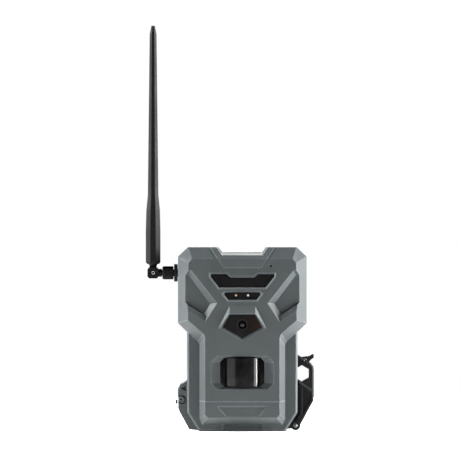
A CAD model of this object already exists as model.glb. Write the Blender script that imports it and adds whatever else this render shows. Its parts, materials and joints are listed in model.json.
"""The looks of a trail camera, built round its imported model. Metres, +Z up, +Y away from the viewer."""

import json
import math

import bpy
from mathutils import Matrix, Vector


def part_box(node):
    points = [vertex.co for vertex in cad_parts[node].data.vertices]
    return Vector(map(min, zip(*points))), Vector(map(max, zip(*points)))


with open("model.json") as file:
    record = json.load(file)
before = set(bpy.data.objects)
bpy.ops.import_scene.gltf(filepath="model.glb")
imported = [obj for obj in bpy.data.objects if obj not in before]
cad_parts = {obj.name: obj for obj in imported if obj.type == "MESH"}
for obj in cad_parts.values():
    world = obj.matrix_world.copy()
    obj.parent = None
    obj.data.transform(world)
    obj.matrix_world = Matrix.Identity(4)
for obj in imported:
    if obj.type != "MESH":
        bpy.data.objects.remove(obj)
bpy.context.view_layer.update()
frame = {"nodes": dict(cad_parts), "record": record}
NODES = frame["nodes"]
MM = 0.001


# ---- camera and studio ----

FOCAL_LENGTH = 400.0
SENSOR = 36.0
PICTURE_WIDTH = 0.337  # what the picture takes in at the subject
SUBJECT_Y = -0.020
CLIP = (0.05, 60)
AIM = Vector((-0.0090, SUBJECT_Y, 0.1475))


def add_camera():
    data = bpy.data.cameras.new("camera")
    data.lens = FOCAL_LENGTH
    data.sensor_width = SENSOR
    data.clip_start, data.clip_end = CLIP
    camera = bpy.data.objects.new("camera", data)
    bpy.context.scene.collection.objects.link(camera)
    distance = PICTURE_WIDTH * FOCAL_LENGTH / SENSOR
    camera.location = AIM + Vector((0, -distance, 0))
    camera.rotation_euler = (math.radians(90), 0, 0)
    bpy.context.scene.camera = camera


def add_light(name, place, target, size, power):
    """A rectangular soft box that faces its target."""
    data = bpy.data.lights.new(name, "AREA")
    data.shape = "RECTANGLE"
    data.size, data.size_y = size
    data.energy = power
    light = bpy.data.objects.new(name, data)
    bpy.context.scene.collection.objects.link(light)
    light.location = place
    direction = Vector(target) - Vector(place)
    light.rotation_euler = direction.to_track_quat("-Z", "Y").to_euler()


FLOOR_RADIUS = 0.75
FLOOR_SIDES = 48
FLOOR_GLOW = 0.68  # the paper is lit from under, so no dark shadow lies on it
ROOM_SEEN = 1.0  # the room's brightness behind the object
ROOM_LIGHT = 0.02  # and in the light that the room gives
LAMP_TARGET = (0, 0, 0.08)
LAMPS = [  # name, place, size, watts
    ("left_box", (-1.16, -0.42, 0.14), (1.5, 0.6), 3.2),
    ("left_strip", (-1.16, -0.09, 0.62), (0.24, 0.7), 66),
    ("right_box", (1.18, -0.36, 0.14), (0.5, 0.5), 5),
    ("right_strip", (1.26, -0.08, 0.38), (0.28, 1.1), 112),
    ("back_box", (0.0, 1.3, 0.62), (1.2, 0.4), 18),
]


def add_floor():
    """A wide sheet of white paper under the camera."""
    turns = [math.tau * i / FLOOR_SIDES for i in range(FLOOR_SIDES)]
    ring = [(FLOOR_RADIUS * math.cos(turn), FLOOR_RADIUS * math.sin(turn), 0) for turn in turns]
    mesh = bpy.data.meshes.new("floor")
    mesh.from_pydata(ring, [], [list(range(FLOOR_SIDES))])
    floor = bpy.data.objects.new("floor", mesh)
    bpy.context.scene.collection.objects.link(floor)
    material, _, shader = new_material("floor_paper")
    shader.inputs["Base Color"].default_value = (0.9, 0.9, 0.9, 1)
    shader.inputs["Roughness"].default_value = 0.9
    shader.inputs["Specular IOR Level"].default_value = 0.1
    shader.inputs["Emission Color"].default_value = (1, 1, 1, 1)
    shader.inputs["Emission Strength"].default_value = FLOOR_GLOW
    mesh.materials.append(material)


def add_world():
    """A white room: one brightness behind the object, another for the light that it gives."""
    world = bpy.data.worlds.new("studio")
    world.use_nodes = True
    tree = world.node_tree
    background = tree.nodes["Background"]
    background.inputs["Color"].default_value = (1, 1, 1, 1)
    path = tree.nodes.new("ShaderNodeLightPath")
    strength = remap(tree, path.outputs["Is Camera Ray"], 0, 1, ROOM_LIGHT, ROOM_SEEN)
    link(tree, strength, background.inputs["Strength"])
    bpy.context.scene.world = world


def add_studio():
    bpy.context.scene.view_settings.view_transform = "Standard"
    add_world()
    add_floor()
    for name, place, size, watts in LAMPS:
        add_light(name, place, LAMP_TARGET, size, watts)


# ---- shader building ----


def new_material(name):
    """An empty principled material: (material, its node tree, its shader)."""
    material = bpy.data.materials.new(name)
    material.use_nodes = True
    tree = material.node_tree
    return material, tree, tree.nodes["Principled BSDF"]


def link(tree, source, target):
    tree.links.new(source, target)


def object_place(tree):
    node = tree.nodes.new("ShaderNodeTexCoord")
    return node.outputs["Object"]


NOISE_ROUGHNESS = 0.55
MID_NOISE = (0.3, 0.7)  # the band that holds nearly all noise values
HIGH_NOISE = (0.35, 0.75)  # the same, moved up, so that marks cover less


def noise(tree, size, detail, stretch=None):
    """Noise whose features are about that size in metres."""
    node = tree.nodes.new("ShaderNodeTexNoise")
    node.inputs["Scale"].default_value = 1 / size
    node.inputs["Detail"].default_value = detail
    node.inputs["Roughness"].default_value = NOISE_ROUGHNESS
    place = object_place(tree)
    if stretch:
        mapping = tree.nodes.new("ShaderNodeMapping")
        mapping.inputs["Scale"].default_value = stretch
        link(tree, place, mapping.inputs["Vector"])
        place = mapping.outputs["Vector"]
    link(tree, place, node.inputs["Vector"])
    return node.outputs["Fac"]


def remap(tree, value, low, high, out_low, out_high):
    node = tree.nodes.new("ShaderNodeMapRange")
    node.inputs["From Min"].default_value = low
    node.inputs["From Max"].default_value = high
    node.inputs["To Min"].default_value = out_low
    node.inputs["To Max"].default_value = out_high
    link(tree, value, node.inputs["Value"])
    return node.outputs["Result"]


def combine(tree, operation, first, second):
    """A math node over two sockets or numbers."""
    node = tree.nodes.new("ShaderNodeMath")
    node.operation = operation
    for socket, value in zip(node.inputs, (first, second)):
        if isinstance(value, (int, float)):
            socket.default_value = value
        else:
            link(tree, value, socket)
    return node.outputs["Value"]


def blend_colours(tree, amount, first, second):
    """A colour between two, each a colour or a socket."""
    node = tree.nodes.new("ShaderNodeMix")
    node.data_type = "RGBA"
    link(tree, amount, node.inputs["Factor"])
    for socket, value in ((node.inputs["A"], first), (node.inputs["B"], second)):
        if isinstance(value, tuple):
            socket.default_value = (*value, 1)
        else:
            link(tree, value, socket)
    return node.outputs["Result"]


def bump(tree, height, distance, strength, under=None):
    node = tree.nodes.new("ShaderNodeBump")
    node.inputs["Distance"].default_value = distance
    node.inputs["Strength"].default_value = strength
    link(tree, height, node.inputs["Height"])
    if under is not None:
        link(tree, under, node.inputs["Normal"])
    return node.outputs["Normal"]


def along(tree, axis, low, high):
    """Runs from 0 to 1 between two places along an axis of the object."""
    parts = tree.nodes.new("ShaderNodeSeparateXYZ")
    link(tree, object_place(tree), parts.inputs["Vector"])
    return remap(tree, parts.outputs[axis], low, high, 0, 1)


def axis_distance(tree, centre):
    """Distance from an axis that runs along Y."""
    parts = tree.nodes.new("ShaderNodeSeparateXYZ")
    link(tree, object_place(tree), parts.inputs["Vector"])
    across = combine(tree, "SUBTRACT", parts.outputs["X"], centre.x)
    up = combine(tree, "SUBTRACT", parts.outputs["Z"], centre.z)
    squares = combine(tree, "ADD", combine(tree, "POWER", across, 2.0), combine(tree, "POWER", up, 2.0))
    return combine(tree, "SQRT", squares, 0.0)


EDGE_TURN = (0.999, 0.978)  # cosine of the rounded edge's turn where paling begins and where it is full
OPEN_AIR = (0.6, 0.8)  # share of open sky that separates a hollow from an outer edge
HOLLOW_REACH = 1.5 * MM
EDGE_SAMPLES = 4


def edge_mask(tree, radius):
    """Near 1 along outer edges and 0 on flat faces, and the rounded normal that it comes from."""
    rounded = tree.nodes.new("ShaderNodeBevel")
    rounded.samples = EDGE_SAMPLES
    rounded.inputs["Radius"].default_value = radius
    geometry = tree.nodes.new("ShaderNodeNewGeometry")
    dot = tree.nodes.new("ShaderNodeVectorMath")
    dot.operation = "DOT_PRODUCT"
    link(tree, rounded.outputs["Normal"], dot.inputs[0])
    link(tree, geometry.outputs["Normal"], dot.inputs[1])
    edges = remap(tree, dot.outputs["Value"], *EDGE_TURN, 0, 1)
    hollows = tree.nodes.new("ShaderNodeAmbientOcclusion")
    hollows.samples = EDGE_SAMPLES
    hollows.inputs["Distance"].default_value = HOLLOW_REACH
    open_air = remap(tree, hollows.outputs["AO"], *OPEN_AIR, 0, 1)
    return combine(tree, "MULTIPLY", edges, open_air), rounded.outputs["Normal"]


def shade(colour, factor):
    return tuple(min(1.0, channel * factor) for channel in colour)


def srgb(red, green, blue):
    """A colour given as it looks on a screen, 0 to 255, in the linear values that shaders use."""
    values = (red / 255, green / 255, blue / 255)
    return tuple(v / 12.92 if v <= 0.04045 else ((v + 0.055) / 1.055) ** 2.4 for v in values)


# ---- materials ----

SPECKLE_PALER = 1.35
SPECKLE_SHARE = 0.35
WORN_PALER = 3.6
WORN_SMOOTHER = -0.25
ROUGHNESS_SPREAD = 0.05
GRAIN_DEPTH = 0.015 * MM
MOULDED_EDGE = 0.6 * MM  # radius that the shader gives to moulded edges
PANE_SHINE = 0.2  # low, as on coated glass, so that panes stay dark


def moulded_plastic(name, colour, roughness, grain=0.5 * MM, wear=0.9, cloud=0.08, shine=0.45):
    """Textured moulded plastic: fine grain, faint clouding, and paler, smoother edges."""
    material, tree, shader = new_material(name)
    clouding = remap(tree, noise(tree, 14 * MM, 4), *MID_NOISE, 0, 1)
    speckle = remap(tree, noise(tree, grain, 3), *MID_NOISE, 0, 1)
    edges, rounded = edge_mask(tree, MOULDED_EDGE)
    patchy = remap(tree, noise(tree, 3 * MM, 4), 0.35, 0.65, 0.6, 1)
    worn = combine(tree, "MULTIPLY", combine(tree, "MULTIPLY", edges, patchy), wear)
    base = blend_colours(tree, clouding, shade(colour, 1 - cloud), shade(colour, 1 + cloud))
    speckle_share = combine(tree, "MULTIPLY", speckle, SPECKLE_SHARE)
    base = blend_colours(tree, speckle_share, base, shade(colour, SPECKLE_PALER))
    base = blend_colours(tree, worn, base, shade(colour, WORN_PALER))
    link(tree, base, shader.inputs["Base Color"])
    clouded = remap(tree, clouding, 0, 1, roughness - ROUGHNESS_SPREAD, roughness + ROUGHNESS_SPREAD)
    rough = combine(tree, "ADD", clouded, combine(tree, "MULTIPLY", worn, WORN_SMOOTHER))
    link(tree, rough, shader.inputs["Roughness"])
    grained = bump(tree, speckle, GRAIN_DEPTH, 0.8, rounded)
    link(tree, grained, shader.inputs["Normal"])
    shader.inputs["Specular IOR Level"].default_value = shine
    return material


def glossy_pane(name, colour, roughness):
    """A polished dark pane with faint wiping marks and dust."""
    material, tree, shader = new_material(name)
    smear = remap(tree, noise(tree, 6 * MM, 5, (1, 1, 0.35)), *HIGH_NOISE, 0, 1)
    dust = remap(tree, noise(tree, 0.7 * MM, 2), 0.62, 0.72, 0, 1)
    link(tree, blend_colours(tree, combine(tree, "MULTIPLY", dust, 0.3), colour, shade(colour, 2.5)),
         shader.inputs["Base Color"])
    link(tree, remap(tree, smear, 0, 1, roughness, roughness + 0.08), shader.inputs["Roughness"])
    shader.inputs["Specular IOR Level"].default_value = PANE_SHINE
    return material


LENSLET_BANDS = 18


def motion_lens_plastic():
    """The motion sensor's lens: a glossy thin sheet with a faint grid of moulded lenslets."""
    material, tree, shader = new_material("motion_lens_sheet")
    smear = remap(tree, noise(tree, 5 * MM, 4), 0.35, 0.7, 0, 1)
    link(tree, blend_colours(tree, smear, srgb(5, 5, 5), srgb(8, 8, 8)), shader.inputs["Base Color"])
    link(tree, remap(tree, smear, 0, 1, 0.09, 0.13), shader.inputs["Roughness"])
    shader.inputs["Specular IOR Level"].default_value = 0.36
    wave = tree.nodes.new("ShaderNodeTexWave")
    wave.wave_type = "BANDS"
    wave.bands_direction = "Z"
    wave.inputs["Scale"].default_value = LENSLET_BANDS
    link(tree, object_place(tree), wave.inputs["Vector"])
    link(tree, bump(tree, wave.outputs["Fac"], 0.01 * MM, 0.4), shader.inputs["Normal"])
    return material


def metal(name, colour, roughness):
    """Turned, drawn or pressed metal with fine scratches."""
    material, tree, shader = new_material(name)
    scratches = remap(tree, noise(tree, 0.6 * MM, 4, (1, 1, 6)), *MID_NOISE, 0, 1)
    _, rounded = edge_mask(tree, 0.2 * MM)
    link(tree, blend_colours(tree, scratches, shade(colour, 0.85), shade(colour, 1.1)),
         shader.inputs["Base Color"])
    link(tree, remap(tree, scratches, 0, 1, roughness - 0.06, roughness + 0.12), shader.inputs["Roughness"])
    link(tree, bump(tree, scratches, 0.005 * MM, 0.5, rounded), shader.inputs["Normal"])
    shader.inputs["Metallic"].default_value = 1.0
    return material


def rubber(name, colour):
    """Dull rubber, paler where its edges are rubbed."""
    material, tree, shader = new_material(name)
    speckle = remap(tree, noise(tree, 0.4 * MM, 3), *MID_NOISE, 0, 1)
    edges, rounded = edge_mask(tree, 0.4 * MM)
    base = blend_colours(tree, combine(tree, "MULTIPLY", edges, 0.3), colour, shade(colour, 2.2))
    link(tree, base, shader.inputs["Base Color"])
    link(tree, remap(tree, speckle, 0, 1, 0.72, 0.88), shader.inputs["Roughness"])
    link(tree, bump(tree, speckle, 0.01 * MM, 0.7, rounded), shader.inputs["Normal"])
    return material


TRACK_SCALE = 260
TRACK_EDGE = (0.30, 0.34)


def circuit_board():
    """Green solder mask with faint copper tracks and pads."""
    material, tree, shader = new_material("circuit_board")
    cells = tree.nodes.new("ShaderNodeTexVoronoi")
    cells.distance = "MANHATTAN"
    cells.feature = "F1"
    cells.inputs["Scale"].default_value = TRACK_SCALE
    link(tree, object_place(tree), cells.inputs["Vector"])
    tracks = remap(tree, cells.outputs["Distance"], *TRACK_EDGE, 0, 1)
    base = blend_colours(tree, combine(tree, "MULTIPLY", tracks, 0.5), srgb(14, 46, 31), srgb(28, 74, 48))
    link(tree, base, shader.inputs["Base Color"])
    link(tree, remap(tree, tracks, 0, 1, 0.35, 0.5), shader.inputs["Roughness"])
    link(tree, bump(tree, tracks, 0.02 * MM, 0.5), shader.inputs["Normal"])
    return material


CELL_BAND = 0.74  # share of the cell's height at which its pale band begins
PRINT_EDGE = 0.3 * MM  # over which the sleeve's two colours meet
SCREEN_MARGIN = 3.5 * MM
SCREEN_FADE = 0.1 * MM


def cell_sleeve(name):
    """The sleeve of one cell: slate blue, with a pale band round its upper end."""
    material, tree, shader = new_material(f"{name}_sleeve")
    heights = [vertex.co.z for vertex in NODES[name].data.vertices]
    band = min(heights) + CELL_BAND * (max(heights) - min(heights))
    pale = along(tree, "Z", band, band + PRINT_EDGE)
    smear = remap(tree, noise(tree, 7 * MM, 4), *MID_NOISE, 0, 1)
    slate = blend_colours(tree, smear, srgb(30, 46, 60), srgb(38, 56, 72))
    link(tree, blend_colours(tree, pale, slate, srgb(150, 154, 156)), shader.inputs["Base Color"])
    link(tree, remap(tree, smear, 0, 1, 0.26, 0.36), shader.inputs["Roughness"])
    link(tree, bump(tree, smear, 0.01 * MM, 0.3), shader.inputs["Normal"])
    return material


def display_glass():
    """The screen: a black surround, and a faintly lighter image area in the middle."""
    material, tree, shader = new_material("display_glass")
    points = [vertex.co for vertex in NODES["display"].data.vertices]
    smear = remap(tree, noise(tree, 6 * MM, 5), *HIGH_NOISE, 0, 1)
    inside = []
    for axis, index in (("X", 0), ("Z", 2)):
        low = min(point[index] for point in points)
        high = max(point[index] for point in points)
        for edge, inward in ((low, 1), (high, -1)):
            start = edge + inward * SCREEN_MARGIN
            inside.append(along(tree, axis, start, start + inward * SCREEN_FADE))
    area = combine(tree, "MULTIPLY", combine(tree, "MULTIPLY", inside[0], inside[1]),
                   combine(tree, "MULTIPLY", inside[2], inside[3]))
    link(tree, blend_colours(tree, area, srgb(8, 8, 9), srgb(34, 40, 44)), shader.inputs["Base Color"])
    link(tree, remap(tree, smear, 0, 1, 0.1, 0.2), shader.inputs["Roughness"])
    return material


WARM_SIDE = (2 * MM, 12 * MM)
COATING = (0.2 * MM, 1.7 * MM)  # radii between which the lens coating fades out


def lens_pane():
    """The smoked pane round the lens, warmer towards its right side."""
    material, tree, shader = new_material("lens_pane")
    smear = remap(tree, noise(tree, 6 * MM, 5, (1, 1, 0.35)), *HIGH_NOISE, 0, 1)
    warm = along(tree, "X", *WARM_SIDE)
    link(tree, blend_colours(tree, warm, srgb(17, 17, 17), srgb(27, 17, 13)), shader.inputs["Base Color"])
    link(tree, remap(tree, smear, 0, 1, 0.14, 0.24), shader.inputs["Roughness"])
    shader.inputs["Specular IOR Level"].default_value = PANE_SHINE
    return material


def coated_lens():
    """Dark glass with a plum coating in the middle."""
    material, tree, shader = new_material("coated_lens")
    low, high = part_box("front_lens")
    centre = (Vector(low) + Vector(high)) / 2
    middle = remap(tree, axis_distance(tree, centre), *COATING, 1, 0)
    link(tree, blend_colours(tree, middle, srgb(8, 7, 9), srgb(40, 20, 34)), shader.inputs["Base Color"])
    link(tree, remap(tree, noise(tree, 2 * MM, 2), 0, 1, 0.03, 0.07), shader.inputs["Roughness"])
    shader.inputs["Specular IOR Level"].default_value = PANE_SHINE
    return material


HOUSING_GREY = srgb(50, 54, 55)
BLACK_PLASTIC = srgb(13, 14, 14)

MATERIALS = {
    "housing": moulded_plastic("housing_plastic", HOUSING_GREY, 0.6, shine=0.25),
    "latch": moulded_plastic("latch_plastic", BLACK_PLASTIC, 0.55, wear=0.7, shine=0.1),
    "antenna": moulded_plastic(
        "antenna_plastic", srgb(10, 10, 11), 0.6, grain=0.35 * MM, wear=0.25, shine=0.09),
    "plastic": moulded_plastic("inner_plastic", srgb(44, 46, 47), 0.55, wear=0.2),
    "screw": metal("blackened_steel", srgb(80, 84, 85), 0.55),
    "window": glossy_pane("window_pane", srgb(15, 14, 15), 0.16),
    "lens_glass": glossy_pane("lens_glass", srgb(20, 14, 18), 0.05),
    "motion_lens": motion_lens_plastic(),
    "steel": metal("steel", srgb(128, 130, 132), 0.45),
    "spring": metal("nickel", srgb(200, 198, 190), 0.28),
    "brass": metal("brass", srgb(196, 160, 92), 0.3),
    "rubber": rubber("rubber", srgb(30, 31, 31)),
    "chip": moulded_plastic("chip_package", srgb(34, 35, 37), 0.45, grain=0.3 * MM, wear=0.1),
    "led_board": moulded_plastic("led_board_mask", srgb(40, 44, 48), 0.4, wear=0.1),
    "board": circuit_board(),
    "warm_diffuser": moulded_plastic("amber_light_pipe", srgb(205, 176, 142), 0.4, wear=0.0, cloud=0.02),
    "diffuser": moulded_plastic("light_pipe", srgb(226, 222, 212), 0.4, wear=0.0, cloud=0.02),
}


WELD_REACH = 0.005 * MM
FLAT_TURN = math.radians(0.6)
SHARP_TURN = math.radians(25)
ROUND_SEGMENTS = 2


def soften(node, width):
    """Rounds a CAD node's sharp edges without touching its mesh: only modifiers are added."""
    weld = node.modifiers.new("weld", "WELD")
    weld.merge_threshold = WELD_REACH
    flatten = node.modifiers.new("flatten", "DECIMATE")
    flatten.decimate_type = "DISSOLVE"
    flatten.angle_limit = FLAT_TURN
    bevel = node.modifiers.new("bevel", "BEVEL")
    bevel.width = width
    bevel.segments = ROUND_SEGMENTS
    bevel.limit_method = "ANGLE"
    bevel.angle_limit = SHARP_TURN
    bevel.use_clamp_overlap = False
    bevel.harden_normals = True
    bevel.miter_outer = "MITER_ARC"


SLOT_OF = {entry["node"]: entry["material_slot"] for entry in frame["record"]["subparts"]}
MATTE_BLACK = moulded_plastic("matte_black", srgb(6, 6, 6), 0.8, wear=0.0, shine=0.05)
OWN_MATERIAL = {
    "lens_window": lens_pane(),
    "front_lens": coated_lens(),
    "lens_barrel": moulded_plastic("barrel_black", srgb(10, 10, 10), 0.5, wear=1.0, shine=0.2),
    "microphone": MATTE_BLACK,
    "antenna_pivot": MATTE_BLACK,
    "status_led": MATERIALS["warm_diffuser"],
    "motion_sensor": MATERIALS["steel"],
    "display": display_glass(),
    "latch_pin": metal("pin_steel", srgb(112, 114, 116), 0.45),
    "card_socket": metal("socket_steel", srgb(88, 90, 92), 0.6),
}
EDGE_RADIUS = {
    "latch_trigger": 0.3 * MM,
    "antenna_whip": 0.25 * MM,
    "power_button": 0.4 * MM,
    "mode_button": 0.4 * MM,
    "ear_screw": 0.3 * MM,
    "cellular_modem": 0.3 * MM,
    "ear_bumper": 0.3 * MM,
}

for name in NODES:
    if SLOT_OF[name] == "cell":
        OWN_MATERIAL[name] = cell_sleeve(name)

for name, node in NODES.items():
    node.data.materials.clear()
    node.data.materials.append(OWN_MATERIAL.get(name) or MATERIALS[SLOT_OF[name]])
    if name in EDGE_RADIUS:
        soften(node, EDGE_RADIUS[name])

add_camera()
add_studio()
